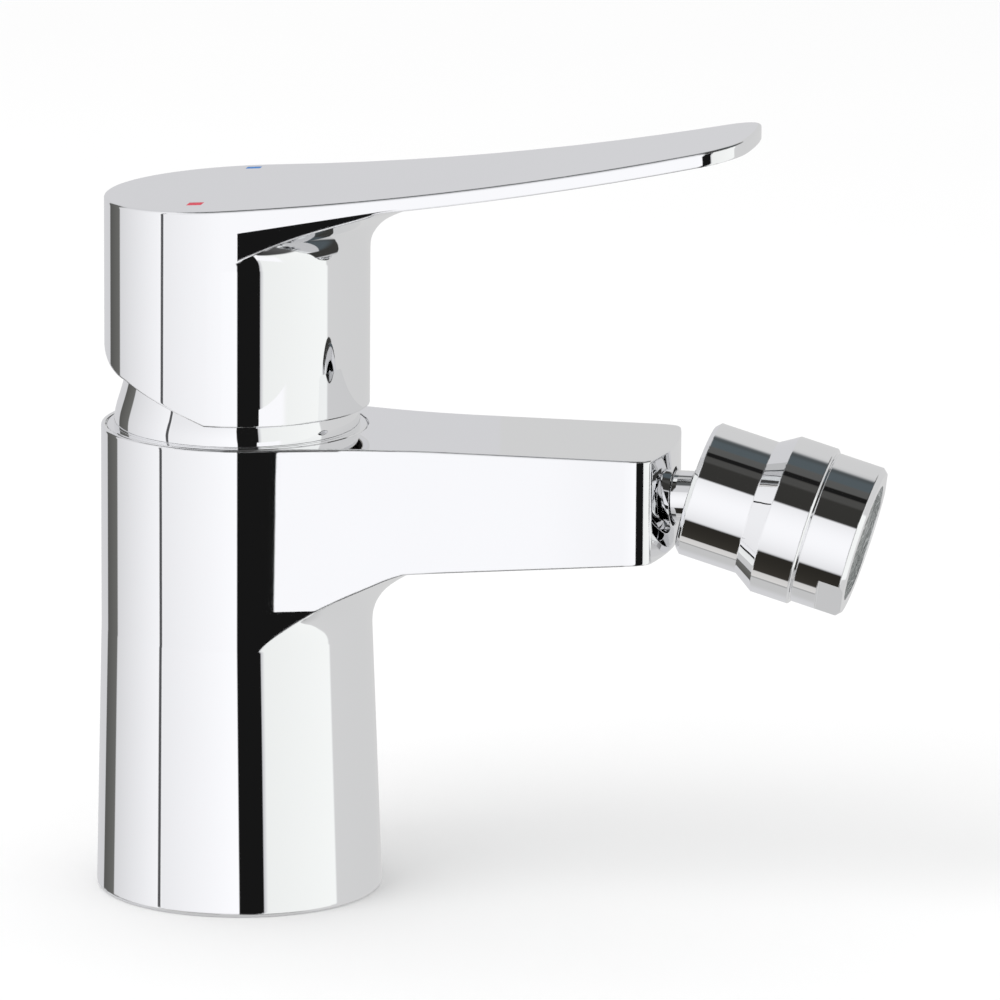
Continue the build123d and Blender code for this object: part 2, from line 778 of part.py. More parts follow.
# Air under the cap, with the slanting cut at its back
with BuildPart() as under_cap:
    with BuildSketch(Plane.XZ.offset(-body_d)):
        with BuildLine():
            slant = Polyline(
                (body_d, cap_bottom_z),
                (cut_start_x, cap_bottom_z),
                (cut_bend_x, cut_bend_z),
            )
            rise = ThreePointArc(
                slant @ 1,
                (cut_mid_inset - cap_r, cap_bottom_z + cut_mid_rise),
                (-body_r, cap_bottom_z + cut_rear_rise),
            )
            Polyline(
                rise @ 1,
                (-body_d, cap_bottom_z + cut_rear_rise),
                (-body_d, cap_bottom_z - 2 * cut_over),
                (body_d, cap_bottom_z - 2 * cut_over),
                (body_d, cap_bottom_z),
            )
        make_face()
    extrude(amount=2 * body_d)

# Hollow of the cap, less the hub and the rib that carries the grub screw
with BuildPart() as cap_hollow:
    with BuildSketch(Plane.XY.offset(cap_bottom_z - cut_over)):
        Circle(cap_bore / 2)
    extrude(amount=cap_bore_z - cap_bottom_z + cut_over)
    with BuildSketch(Plane.XY.offset(cap_bore_z)):
        Circle(cap_bore_upper / 2)
    extrude(amount=cap_ceiling_z - cap_bore_z)
    with BuildSketch(stem_plane.offset(hub_start)):
        Circle(hub_d / 2)
    extrude(amount=cap_d, mode=Mode.SUBTRACT)
    with BuildSketch(stem_plane.offset(rib_start)):
        Rectangle(cap_d, rib_w, align=(Align.MAX, Align.CENTER))
    extrude(amount=cap_d, mode=Mode.SUBTRACT)

# Solid outer form of the lever
with BuildPart() as lever_form:
    with BuildSketch(Plane.XY.offset(cap_bottom_z - cut_over)) as lever_plan:
        with BuildLine():
            flank = Line((taper_x, taper_y), (blade_end_x, blade_end_y))
            tip = ThreePointArc(flank @ 1, (blade_reach, 0), (blade_end_x, -blade_end_y))
            Line(tip @ 1, (taper_x, -taper_y))
            ThreePointArc((taper_x, -taper_y), (-cap_r, 0), flank @ 0)
        make_face()
        fillet(lever_plan.vertices().sort_by(Axis.X)[-2:], blade_corner_r)
    extrude(amount=2 * top_z - cap_bottom_z)
    add(over_lever.part, mode=Mode.SUBTRACT)
    crown = lever_form.faces().sort_by(Axis.Z)[-1]
    fillet(crown.edges(), cap_edge)
    add(under_lever.part, mode=Mode.SUBTRACT)
    add(under_cap.part, mode=Mode.SUBTRACT)

# Tools that cut the marks' pockets; what they share with the lever's form fills the pockets
mark_sizes = (
    ("hot_mark", mark_hot_x, mark_hot_y, mark_hot_w),
    ("cold_mark", mark_cold_x, mark_cold_y, mark_cold_w),
)
with BuildPart() as mark_pockets:
    for _, mark_x, mark_y, mark_w in mark_sizes:
        with BuildSketch(Plane.XY.offset(lever_top(mark_x) - mark_depth)):
            with Locations((mark_x, mark_y)):
                Rectangle(mark_l, mark_w)
        extrude(amount=cut_over)

with BuildPart() as lever_handle:
    add(lever_form.part)
    add(cap_hollow.part, mode=Mode.SUBTRACT)
    add(mark_pockets.part, mode=Mode.SUBTRACT)
    # Square socket for the stem
    with BuildSketch(stem_plane.offset(hub_start - cut_over)):
        Rectangle(stem_square + 2 * thread_gap, stem_square + 2 * thread_gap)
    extrude(amount=stem_top + slip - hub_start + cut_over, mode=Mode.SUBTRACT)
    # Tapped hole for the grub screw, wider where the plug closes it
    with BuildSketch(screw_plane):
        Circle(screw_d / 2 + thread_gap)
    extrude(amount=cap_d, mode=Mode.SUBTRACT)
    with BuildSketch(screw_plane.offset(cap_r)):
        Circle(plug_d / 2)
    extrude(amount=cap_r, mode=Mode.SUBTRACT)
finish(lever_handle.part, "lever_handle")

for mark_name, mark_x, mark_y, mark_w in mark_sizes:
    with BuildPart() as mark:
        with BuildSketch(Plane.XY.offset(lever_top(mark_x) - mark_depth)):
            with Locations((mark_x, mark_y)):
                Rectangle(mark_l, mark_w)
        extrude(amount=cut_over)
        add(lever_form.part, mode=Mode.INTERSECT)
    finish(mark.part, mark_name)

# Grub screw with a hexagon socket, bearing on the stem
with BuildPart() as lever_screw:
    with BuildSketch(screw_plane.offset(stem_square / 2)):
        Circle(screw_d / 2)
    extrude(amount=screw_length)
    with BuildSketch(screw_plane.offset(stem_square / 2 + screw_length)):
        RegularPolygon(screw_key / 2, 6, major_radius=False)
    extrude(amount=-screw_key_depth, mode=Mode.SUBTRACT)
finish(lever_screw.part, "lever_screw")

with BuildPart() as screw_plug:
    with BuildSketch(screw_plane.offset(cap_r)):
        Circle(plug_d / 2)
    extrude(amount=cap_r)
    add(lever_form.part, mode=Mode.INTERSECT)
finish(screw_plug.part, "screw_plug")

# Ball stem: threaded tail, round neck and a bored ball with a flat front
with BuildPart() as ball_stem:
    with BuildSketch(spout_end.offset(recess_depth)):
        Circle(stem_neck_d / 2)
    extrude(amount=spout_reach - recess_depth - ball_x)
    with Locations((ball_x, 0, ball_z)):
        Sphere(ball_r)
    split(bisect_by=Plane((ball_x + ball_r - ball_flat_cut, 0, ball_z), z_dir=(-1, 0, 0)), keep=Keep.TOP)
    with BuildSketch(spout_end.offset(recess_depth)):
        Circle(stem_thread_d / 2)
    extrude(amount=stem_thread_l - slip)
    with BuildSketch(Plane.YZ.offset(thread_floor_x)):
        with Locations((0, ball_z)):
            Circle(ball_bore / 2)
    extrude(amount=ball_x + ball_r - thread_floor_x, mode=Mode.SUBTRACT)
finish(ball_stem.part, "ball_stem")

# Seal round the stem's neck, in the recess of the spout's end
with BuildPart() as neck_seal:
    with BuildSketch(spout_end.offset(neck_ring_depth)):
        Circle(recess_d / 2)
        Circle(stem_neck_d / 2 + run, mode=Mode.SUBTRACT)
    extrude(amount=recess_depth - neck_ring_depth)
finish(neck_seal.part, "neck_seal")

# Nozzle shell, turned about its own axis, with a seat that holds the ball from behind
with BuildPart() as swivel_socket:
    lip_r = sqrt(ball_seat_r**2 - lip_back**2)
    with BuildSketch(nozzle_side):
        with BuildLine():
            shell = Polyline(
                (-lip_back, lip_r),
                (-socket_back, mouth_d / 2),
                (-socket_back, socket_rear_r),
                (socket_chamfer - socket_back, socket_d / 2),
                (socket_front, socket_d / 2),
                (cone_end, collar_d / 2),
                (collar_end - collar_edge, collar_d / 2),
                (collar_end, collar_d / 2 - collar_edge),
                (collar_end, thread_d / 2 + thread_gap),
                (thread_start, thread_d / 2 + thread_gap),
                (thread_start, socket_bore / 2),
                (0, socket_bore / 2),
                (0, ball_seat_r),
            )
            ThreePointArc(shell @ 1, (-lip_back / 2, on_ball(lip_back / 2)), shell @ 0)
        make_face()
    revolve(axis=nozzle_axis)
finish(swivel_socket.part, "swivel_socket")

# Slippery seat in front of the ball
with BuildPart() as ball_seat:
    seat_mouth_r = on_ball(seat_start)
    seat_throat_x = on_ball(seat_bore / 2)
    seat_mid_x = (seat_start + seat_throat_x) / 2
    with BuildSketch(nozzle_side):
        with BuildLine():
            wall = Polyline(
                (seat_start, seat_mouth_r),
                (seat_start, socket_bore / 2 - run),
                (seat_end, socket_bore / 2 - run),
                (seat_end, seat_bore / 2),
                (seat_throat_x, seat_bore / 2),
            )
            ThreePointArc(wall @ 1, (seat_mid_x, on_ball(seat_mid_x)), wall @ 0)
        make_face()
    revolve(axis=nozzle_axis)
finish(ball_seat.part, "ball_seat")

with BuildPart() as ball_o_ring:
    seal_w = seal_share * (socket_bore / 2 - run - on_ball(seal_station))
    with BuildSketch(nozzle_side):
        with Locations((seal_station, socket_bore / 2 - run - seal_w / 2)):
            Circle(seal_w / 2)
    revolve(axis=nozzle_axis)
finish(ball_o_ring.part, "ball_o_ring")

# Threaded ring that presses the seat on the ball, with two notches for a key
with BuildPart() as seat_retainer:
    with BuildSketch(nozzle_plane.offset(seat_end + run)):
        Circle(socket_bore / 2 - thread_gap)
        Circle(retainer_bore / 2, mode=Mode.SUBTRACT)
    extrude(amount=retainer_length)
    with BuildSketch(nozzle_plane.offset(seat_end + run + retainer_length)):
        Rectangle(socket_bore, retainer_notch)
    extrude(amount=-retainer_length / 2, mode=Mode.SUBTRACT)
finish(seat_retainer.part, "seat_retainer")

with BuildPart() as aerator_washer:
    with BuildSketch(nozzle_plane.offset(thread_start)):
        Circle(thread_d / 2)
        Circle(washer_bore / 2, mode=Mode.SUBTRACT)
    extrude(amount=washer_t)
finish(aerator_washer.part, "aerator_washer")

# Aerator ring: threaded neck, outer ring with two wrench flats, and a lip at the mouth
with BuildPart() as aerator_ring:
    with BuildSketch(nozzle_side):
        with BuildLine():
            Polyline(
                (thread_start + washer_t, ring_bore / 2),
                (thread_start + washer_t, thread_d / 2),
                (ring_start, thread_d / 2),
                (ring_start, ring_d / 2),
                (ring_end - ring_chamfer, ring_d / 2),
                (ring_end, ring_d / 2 - ring_chamfer),
                (ring_end, ring_front_bore / 2),
                (ring_step, ring_front_bore / 2),
                (ring_step, ring_bore / 2),
                close=True,
            )
        make_face()
    revolve(axis=nozzle_axis)
    with BuildSketch(nozzle_plane.offset(ring_end)):
        Rectangle(2 * ring_d, 2 * ring_d, rotation=flat_turn)
        Rectangle(2 * ring_d, flat_across, rotation=flat_turn, mode=Mode.SUBTRACT)
    extrude(amount=-flat_l, mode=Mode.SUBTRACT)
finish(aerator_ring.part, "aerator_ring")

# Aerator insert: a cup with a ring of jets in its floor
with BuildPart() as aerator_insert:
    with BuildSketch(nozzle_plane.offset(insert_end)):
        Circle(ring_bore / 2 - thread_gap)
    extrude(amount=-insert_length)
    with BuildSketch(nozzle_plane.offset(insert_end)):
        Circle(ring_bore / 2 - thread_gap - insert_wall)
    extrude(amount=insert_wall - insert_length, mode=Mode.SUBTRACT)
    with BuildSketch(nozzle_plane.offset(insert_end - insert_length)):
        with PolarLocations(insert_hole_circle_d / 2, insert_hole_count):
            Circle(insert_hole_d / 2)
    extrude(amount=insert_wall, mode=Mode.SUBTRACT)
finish(aerator_insert.part, "aerator_insert")

# Straightener: a thin disc with a field of square holes
with BuildPart() as aerator_mesh:
    with BuildSketch(nozzle_plane.offset(insert_end)):
        Circle(ring_bore / 2 - thread_gap)
    extrude(amount=mesh_t)
    rows = int(mesh_field_d / mesh_pitch / 2)
    cells = [
        (mesh_pitch * i, mesh_pitch * j)
        for i in range(-rows, rows + 1)
        for j in range(-rows, rows + 1)
        if mesh_pitch * sqrt(i**2 + j**2) < mesh_field_d / 2
    ]
    with BuildSketch(nozzle_plane.offset(insert_end)):
        with Locations(*cells):
            Rectangle(mesh_hole_d, mesh_hole_d)
    extrude(amount=mesh_t, mode=Mode.SUBTRACT)
finish(aerator_mesh.part, "aerator_mesh")
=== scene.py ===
"""Looks of the bidet mixer: finishes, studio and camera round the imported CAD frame."""

import logging
from dataclasses import dataclass
from enum import Enum
from math import cos, degrees, radians, sin
from typing import Any, Dict, List, Optional, Sequence, Tuple, Union

import bmesh
import bpy
from mathutils import Matrix, Vector

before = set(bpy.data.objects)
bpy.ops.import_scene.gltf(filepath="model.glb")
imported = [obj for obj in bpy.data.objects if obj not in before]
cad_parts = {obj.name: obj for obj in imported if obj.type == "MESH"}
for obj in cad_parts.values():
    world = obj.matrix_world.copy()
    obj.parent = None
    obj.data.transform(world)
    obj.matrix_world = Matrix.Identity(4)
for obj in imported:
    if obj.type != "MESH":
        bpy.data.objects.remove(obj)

LOG = logging.getLogger("bidet_mixer")
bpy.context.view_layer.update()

Colour = Tuple[float, float, float]
Point = Tuple[float, float, float]
Span = Tuple[float, float]
Value = Union[float, Sequence[float], "Wire"]


class Easing(Enum):
    """How far polishing has eased the edges of a plated piece, in metres."""

    CRISP = 0.00012
    TURNED = 0.0003
    CAST = 0.0005


@dataclass(frozen=True)
class Grain:
    """A noise: its cells to the metre, its finer layers and a shift that sets it apart."""

    scale: float
    detail: float
    shift: float


@dataclass(frozen=True)
class Hollow:
    """A round hollow about the height axis: its wall's radius, its floor and its top in metres."""

    wall: float
    floor: float
    top: float


def rgba(colour: Colour) -> Tuple[float, float, float, float]:
    """The colour with full alpha."""
    return (*colour, 1.0)


def scaled(colour: Colour, share: float) -> Colour:
    """The colour made darker or lighter by a share."""
    return tuple(channel * share for channel in colour)


class Wire:
    """An output socket on which Python's operators add Math nodes."""

    def __init__(self, graph: "Graph", socket: bpy.types.NodeSocket) -> None:
        """Keep the graph and the socket.

        Args:
            graph: the graph that the socket's node is in.
            socket: the output socket.
        """
        self.graph = graph
        self.socket = socket

    def _math(self, operation: str, first: Value, second: Value = 0.0, third: Value = 0.0) -> "Wire":
        """Add one Math node.

        Args:
            operation: the node's operation.
            first: its first value.
            second: its second value.
            third: its third value.

        Returns:
            The node's result.
        """
        return self.graph.wire(
            "ShaderNodeMath", {"operation": operation}, {0: first, 1: second, 2: third}
        )

    def __add__(self, other: Value) -> "Wire":
        """Sum."""
        return self._math("ADD", self, other)

    def __radd__(self, other: Value) -> "Wire":
        """Sum with a number on the left."""
        return self._math("ADD", other, self)

    def __sub__(self, other: Value) -> "Wire":
        """Difference."""
        return self._math("SUBTRACT", self, other)

    def __rsub__(self, other: Value) -> "Wire":
        """Difference from a number on the left."""
        return self._math("SUBTRACT", other, self)

    def __mul__(self, other: Value) -> "Wire":
        """Product."""
        return self._math("MULTIPLY", self, other)

    def __rmul__(self, other: Value) -> "Wire":
        """Product with a number on the left."""
        return self._math("MULTIPLY", other, self)

    def __truediv__(self, other: Value) -> "Wire":
        """Quotient."""
        return self._math("DIVIDE", self, other)

    def __rtruediv__(self, other: Value) -> "Wire":
        """A number on the left divided by this."""
        return self._math("DIVIDE", other, self)

    def step(self, low: float, high: float) -> "Wire":
        """Rise smoothly from 0 at low to 1 at high; falls where low is above high.

        Args:
            low: the value that gives 0.
            high: the value that gives 1.

        Returns:
            The share between 0 and 1.
        """
        if low > high:
            return 1.0 - self.step(high, low)
        return self.graph.wire(
            "ShaderNodeMapRange",
            {"interpolation_type": "SMOOTHSTEP"},
            {"Value": self, "From Min": low, "From Max": high, "To Min": 0.0, "To Max": 1.0},
            "Result",
        )

    def within(self, span: Span, edge: float) -> "Wire":
        """Mask of the values inside a span, with soft edges centred on its ends.

        Args:
            span: the lowest and highest value.
            edge: the width of each soft edge.

        Returns:
            1 inside the span and 0 outside it.
        """
        low, high = span
        rise = self.step(low - edge / 2, low + edge / 2)
        return rise * self.step(high + edge / 2, high - edge / 2)


class Graph:
    """A node tree that is filled one node at a time."""

    def __init__(self, tree: bpy.types.NodeTree) -> None:
        """Empty the tree.

        Args:
            tree: the node tree of a material or a world.
        """
        self.tree = tree
        tree.nodes.clear()

    def node(
        self,
        kind: str,
        settings: Optional[Dict[str, Any]] = None,
        inputs: Optional[Dict[Union[str, int], Value]] = None,
    ) -> bpy.types.Node:
        """Add a node.

        Args:
            kind: the node's type.
            settings: its properties, set first.
            inputs: a number, a colour or a wire for each named socket.

        Returns:
            The node.
        """
        made = self.tree.nodes.new(kind)
        for name, value in (settings or {}).items():
            setattr(made, name, value)
        for name, value in (inputs or {}).items():
            socket = made.inputs[name]
            if isinstance(value, Wire):
                self.tree.links.new(value.socket, socket)
            else:
                socket.default_value = value
        return made

    def wire(
        self,
        kind: str,
        settings: Optional[Dict[str, Any]] = None,
        inputs: Optional[Dict[Union[str, int], Value]] = None,
        output: Union[str, int] = 0,
    ) -> Wire:
        """Add a node and give one of its outputs.

        Args:
            kind: the node's type.
            settings: its properties.
            inputs: its inputs.
            output: the name or number of the output.

        Returns:
            The output as a wire.
        """
        return Wire(self, self.node(kind, settings, inputs).outputs[output])

    def vector(self, operation: str, first: Value, second: Value = (0, 0, 0)) -> Wire:
        """Add a Vector Math node that gives a vector.

        Args:
            operation: the node's operation.
            first: its first vector.
            second: its second vector.

        Returns:
            The vector.
        """
        return self.wire("ShaderNodeVectorMath", {"operation": operation}, {0: first, 1: second})

    def measure(self, operation: str, first: Value, second: Value = (0, 0, 0)) -> Wire:
        """Add a Vector Math node that gives a number, such as a dot product or a length.

        Args:
            operation: the node's operation.
            first: its first vector.
            second: its second vector.

        Returns:
            The number.
        """
        return self.wire(
            "ShaderNodeVectorMath", {"operation": operation}, {0: first, 1: second}, "Value"
        )

    def mix(self, share: Value, first: Value, second: Value) -> Wire:
        """Mix two colours.

        Args:
            share: how much of the second colour shows.
            first: the colour at 0.
            second: the colour at 1.

        Returns:
            The mixed colour.
        """
        made = self.node("ShaderNodeMix", {"data_type": "RGBA"}, {0: share, 6: first, 7: second})
        return Wire(self, made.outputs[2])

    def noise(self, place: Value, grain: Grain) -> Wire:
        """Add a Noise Texture.

        Args:
            place: the vector it reads, in metres.
            grain: its scale, detail and shift.

        Returns:
            The noise, about 0.5 on the average.
        """
        return self.wire(
            "ShaderNodeTexNoise",
            {"noise_dimensions": "4D"},
            {"Vector": place, "W": grain.shift, "Scale": grain.scale, "Detail": grain.detail},
            "Fac",
        )

    def bump(
        self, height: Wire, strength: float, distance: float, base: Optional[Wire] = None
    ) -> Wire:
        """Turn a height into a normal.

        Args:
            height: the relief, from 0 to 1.
            strength: how much of it shows.
            distance: its height in metres.
            base: the normal that the relief stands on, where it isn't the mesh's own.

        Returns:
            The normal.
        """
        inputs: Dict[Union[str, int], Value] = {
            "Strength": strength,
            "Distance": distance,
            "Height": height,
        }
        if base is not None:
            inputs["Normal"] = base
        return self.wire("ShaderNodeBump", None, inputs)


@dataclass(frozen=True)
class Finish:
    """A surface finish: its slot's name, its colour and how rough it is."""

    slot: str
    colour: Colour
    roughness: float

    def place(self, graph: Graph) -> Wire:
        """The point on the object, in metres."""
        return graph.wire("ShaderNodeTexCoord", None, None, "Object")

    def look(self, graph: Graph) -> Dict[str, Value]:
        """Inputs of the shader.

        Args:
            graph: the material's graph.

        Returns:
            A value or wire for each socket of the Principled shader that the finish sets.
        """
        raise NotImplementedError

    def material(self) -> bpy.types.Material:
        """Build the finish as a material.

        Returns:
            The material.
        """
        made = bpy.data.materials.new(self.slot)
        made.use_nodes = True
        graph = Graph(made.node_tree)
        shader = graph.node("ShaderNodeBsdfPrincipled", None, self.look(graph))
        graph.node("ShaderNodeOutputMaterial", None, {"Surface": Wire(graph, shader.outputs[0])})
        made.diffuse_color = rgba(self.colour)
        return made


@dataclass(frozen=True)
class ChromePlate(Finish):
    """Polished chrome plate: a mirror with a trace of haze, wiping marks and waviness."""

    easing: Easing = Easing.CRISP
    edge_samples: int = 8
    cloud: Grain = Grain(38.0, 2.0, 1.7)
    cloud_shades: Span = (0.988, 1.008)
    wiping: Grain = Grain(420.0, 3.0, 4.1)
    wiping_stretch: Point = (1.0, 1.0, 0.22)
    wiping_span: Span = (0.45, 0.75)
    haze: float = 0.012
    waves: Grain = Grain(160.0, 1.0, 2.9)
    wave_strength: float = 0.05
    relief: float = 0.00003

    def edges(self, graph: Graph) -> Wire:
        """Normal that turns softly round the eased edges."""
        return graph.wire(
            "ShaderNodeBevel", {"samples": self.edge_samples}, {"Radius": self.easing.value}
        )

    def plate(self, graph: Graph, place: Wire) -> Tuple[Wire, Wire, Wire]:
        """The polished surface.

        Args:
            graph: the material's graph.
            place: the point on the object.

        Returns:
            Its colour, roughness and relief.
        """
        cloud = graph.noise(place, self.cloud)
        wiped = graph.noise(graph.vector("MULTIPLY", place, self.wiping_stretch), self.wiping)
        dim, bright = (rgba(scaled(self.colour, shade)) for shade in self.cloud_shades)
        roughness = self.roughness + self.haze * wiped.step(*self.wiping_span)
        return graph.mix(cloud, dim, bright), roughness, graph.noise(place, self.waves)

    def look(self, graph: Graph) -> Dict[str, Value]:
        """Inputs of the shader.

        Args:
            graph: the material's graph.

        Returns:
            A value or wire for each socket.
        """
        colour, roughness, waves = self.plate(graph, self.place(graph))
        return {
            "Base Color": colour,
            "Metallic": 1.0,
            "Roughness": roughness,
            "Normal": graph.bump(waves, self.wave_strength, self.relief, self.edges(graph)),
        }


@dataclass(frozen=True)
class PlatedCasting(ChromePlate):
    """Chrome outside, and bare cast metal in the hollows, which no plating bath brightens."""

    bare: Colour = (0.62, 0.5, 0.32)
    hollows: Tuple[Hollow, ...] = ()
    wall_blur: float = 0.0001
    end_blur: float = 0.0002
    sand: Grain = Grain(1500.0, 3.0, 6.3)
    stains: Grain = Grain(90.0, 3.0, 8.8)
    stain_shade: float = 0.78
    bare_roughness: float = 0.34
    sand_roughness: float = 0.14

    def look(self, graph: Graph) -> Dict[str, Value]:
        """Inputs of the shader.

        Args:
            graph: the material's graph.

        Returns:
            A value or wire for each socket.
        """
        place = self.place(graph)
        colour, roughness, waves = self.plate(graph, place)
        axes = graph.node("ShaderNodeSeparateXYZ", None, {0: place})
        height = Wire(graph, axes.outputs[2])
        radius = graph.measure("LENGTH", graph.vector("MULTIPLY", place, (1.0, 1.0, 0.0)))
        inside: Value = 0.0
        for hollow in self.hollows:
            across = radius.step(hollow.wall + self.wall_blur, hollow.wall)
            inside = across * height.within((hollow.floor, hollow.top), self.end_blur) + inside
        sand = graph.noise(place, self.sand)
        stains = graph.noise(place, self.stains)
        dull = graph.mix(stains, rgba(scaled(self.bare, self.stain_shade)), rgba(self.bare))
        relief = waves * (1.0 - inside) * self.wave_strength + sand * inside
        return {
            "Base Color": graph.mix(inside, colour, dull),
            "Metallic": 1.0,
            "Roughness": roughness + inside * (self.bare_roughness + self.sand_roughness * sand),
            "Normal": graph.bump(relief, 1.0, self.relief, self.edges(graph)),
        }


@dataclass(frozen=True)
class TurnedMetal(Finish):
    """Metal off a lathe, with fine rings round its own axis."""

    centre: Point = (0.0, 0.0, 0.0)
    axis: Point = (0.0, 0.0, 1.0)
    pitch: float = 0.00025
    ring_detail: float = 2.0
    ring_shift: float = 3.3
    ring_roughness: float = 0.1
    ring_strength: float = 0.35
    relief: float = 0.00002
    tarnish: Grain = Grain(130.0, 4.0, 7.9)
    tarnish_span: Span = (0.35, 0.7)
    tarnish_shade: float = 0.82
    tarnish_roughness: float = 0.08

    def look(self, graph: Graph) -> Dict[str, Value]:
        """Inputs of the shader.

        Args:
            graph: the material's graph.

        Returns:
            A value or wire for each socket.
        """
        place = self.place(graph)
        arm = graph.vector("SUBTRACT", place, self.centre)
        along = graph.measure("DOT_PRODUCT", arm, self.axis)
        across = graph.measure("LENGTH", graph.vector("CROSS_PRODUCT", arm, self.axis))
        track = graph.wire("ShaderNodeCombineXYZ", None, {0: along, 1: across, 2: 0.0})
        rings = graph.noise(track, Grain(1.0 / self.pitch, self.ring_detail, self.ring_shift))
        tarnish = graph.noise(place, self.tarnish)
        dulled = tarnish.step(*self.tarnish_span)
        rough = self.roughness + self.ring_roughness * rings + self.tarnish_roughness * tarnish
        return {
            "Base Color": graph.mix(
                dulled, rgba(self.colour), rgba(scaled(self.colour, self.tarnish_shade))
            ),
            "Metallic": 1.0,
            "Roughness": rough,
            "Normal": graph.bump(rings, self.ring_strength, self.relief),
        }


@dataclass(frozen=True)
class Rubber(Finish):
    """Matt moulded rubber with a trace of dust."""

    dust: Grain = Grain(240.0, 4.0, 5.1)
    dust_span: Span = (0.5, 0.8)
    dust_shade: float = 2.2
    dust_roughness: float = 0.15
    skin: Grain = Grain(2600.0, 2.0, 2.2)
    skin_strength: float = 0.5
    relief: float = 0.00003

    def look(self, graph: Graph) -> Dict[str, Value]:
        """Inputs of the shader.

        Args:
            graph: the material's graph.

        Returns:
            A value or wire for each socket.
        """
        place = self.place(graph)
        dust = graph.noise(place, self.dust)
        skin = graph.noise(place, self.skin)
        dusty = rgba(scaled(self.colour, self.dust_shade))
        return {
            "Base Color": graph.mix(dust.step(*self.dust_span), rgba(self.colour), dusty),
            "Roughness": self.roughness + self.dust_roughness * dust,
            "Normal": graph.bump(skin, self.skin_strength, self.relief),
        }


@dataclass(frozen=True)
class Moulded(Finish):
    """Moulded plastic: flow clouds, a fine eroded skin and an even satin."""

    flow: Grain = Grain(110.0, 2.0, 9.4)
    flow_shade: float = 0.93
    skin: Grain = Grain(3200.0, 2.0, 1.1)
    skin_roughness: float = 0.12
    skin_strength: float = 0.3
    relief: float = 0.00002

    def look(self, graph: Graph) -> Dict[str, Value]:
        """Inputs of the shader.

        Args:
            graph: the material's graph.

        Returns:
            A value or wire for each socket.
        """
        place = self.place(graph)
        flow = graph.noise(place, self.flow)
        skin = graph.noise(place, self.skin)
        shaded = rgba(scaled(self.colour, self.flow_shade))
        return {
            "Base Color": graph.mix(flow, shaded, rgba(self.colour)),
            "Roughness": self.roughness + self.skin_roughness * skin,
            "Normal": graph.bump(skin, self.skin_strength, self.relief),
        }


@dataclass(frozen=True)
class Lapped(Finish):
    """Dense ceramic, lapped flat to a soft shine."""

    specks: Grain = Grain(5200.0, 1.0, 6.6)
    speck_span: Span = (0.55, 0.7)
    speck_roughness: float = 0.12
    speck_strength: float = 0.1
    relief: float = 0.00001
    clouds: Grain = Grain(150.0, 2.0, 0.7)
    cloud_shade: float = 0.96

    def look(self, graph: Graph) -> Dict[str, Value]:
        """Inputs of the shader.

        Args:
            graph: the material's graph.

        Returns:
            A value or wire for each socket.
        """
        place = self.place(graph)
        specks = graph.noise(place, self.specks)
        clouds = graph.noise(place, self.clouds)
        clouded = rgba(scaled(self.colour, self.cloud_shade))
        return {
            "Base Color": graph.mix(clouds, clouded, rgba(self.colour)),
            "Roughness": self.roughness + self.speck_roughness * specks.step(*self.speck_span),
            "Normal": graph.bump(specks, self.speck_strength, self.relief),
        }


@dataclass(frozen=True)
class Enamel(Finish):
    """Drop of coloured enamel in a mark: satin, a little uneven in depth."""

    pool: Grain = Grain(900.0, 2.0, 3.7)
    pool_shade: float = 0.82
    pool_roughness: float = 0.06
    pool_strength: float = 0.2
    relief: float = 0.00004
    shine: float = 0.12

    def look(self, graph: Graph) -> Dict[str, Value]:
        """Inputs of the shader.

        Args:
            graph: the material's graph.

        Returns:
            A value or wire for each socket.
        """
        place = self.place(graph)
        depth = graph.noise(place, self.pool)
        shallow = rgba(scaled(self.colour, self.pool_shade))
        return {
            "Base Color": graph.mix(depth, shallow, rgba(self.colour)),
            "Roughness": self.roughness + self.pool_roughness * depth,
            "Normal": graph.bump(depth, self.pool_strength, self.relief),
            "Specular IOR Level": self.shine,
        }


@dataclass(frozen=True)
class Panel:
    """A panel or flag of the studio, by its bearing from the camera and its height in degrees.

    Its shade runs from its first to its second value across it, and falls off by a share towards
    its top and bottom.
    """

    name: str
    bearing: Span
    height: Span
    shades: Span
    tint: Colour = (1.0, 1.0, 1.0)
    edge: Span = (1.2, 4.0)
    fall: float = 0.0


@dataclass(frozen=True)
class Card:
    """A card close in front of the mixer, which only polished metal sees.

    Its height runs from its first span at its left edge to its second at its right edge.
    """

    name: str
    across: Span
    depth: float
    heights: Tuple[Span, Span]
    shade: float
    fade: float
    tint: Colour = (1.0, 1.0, 1.02)


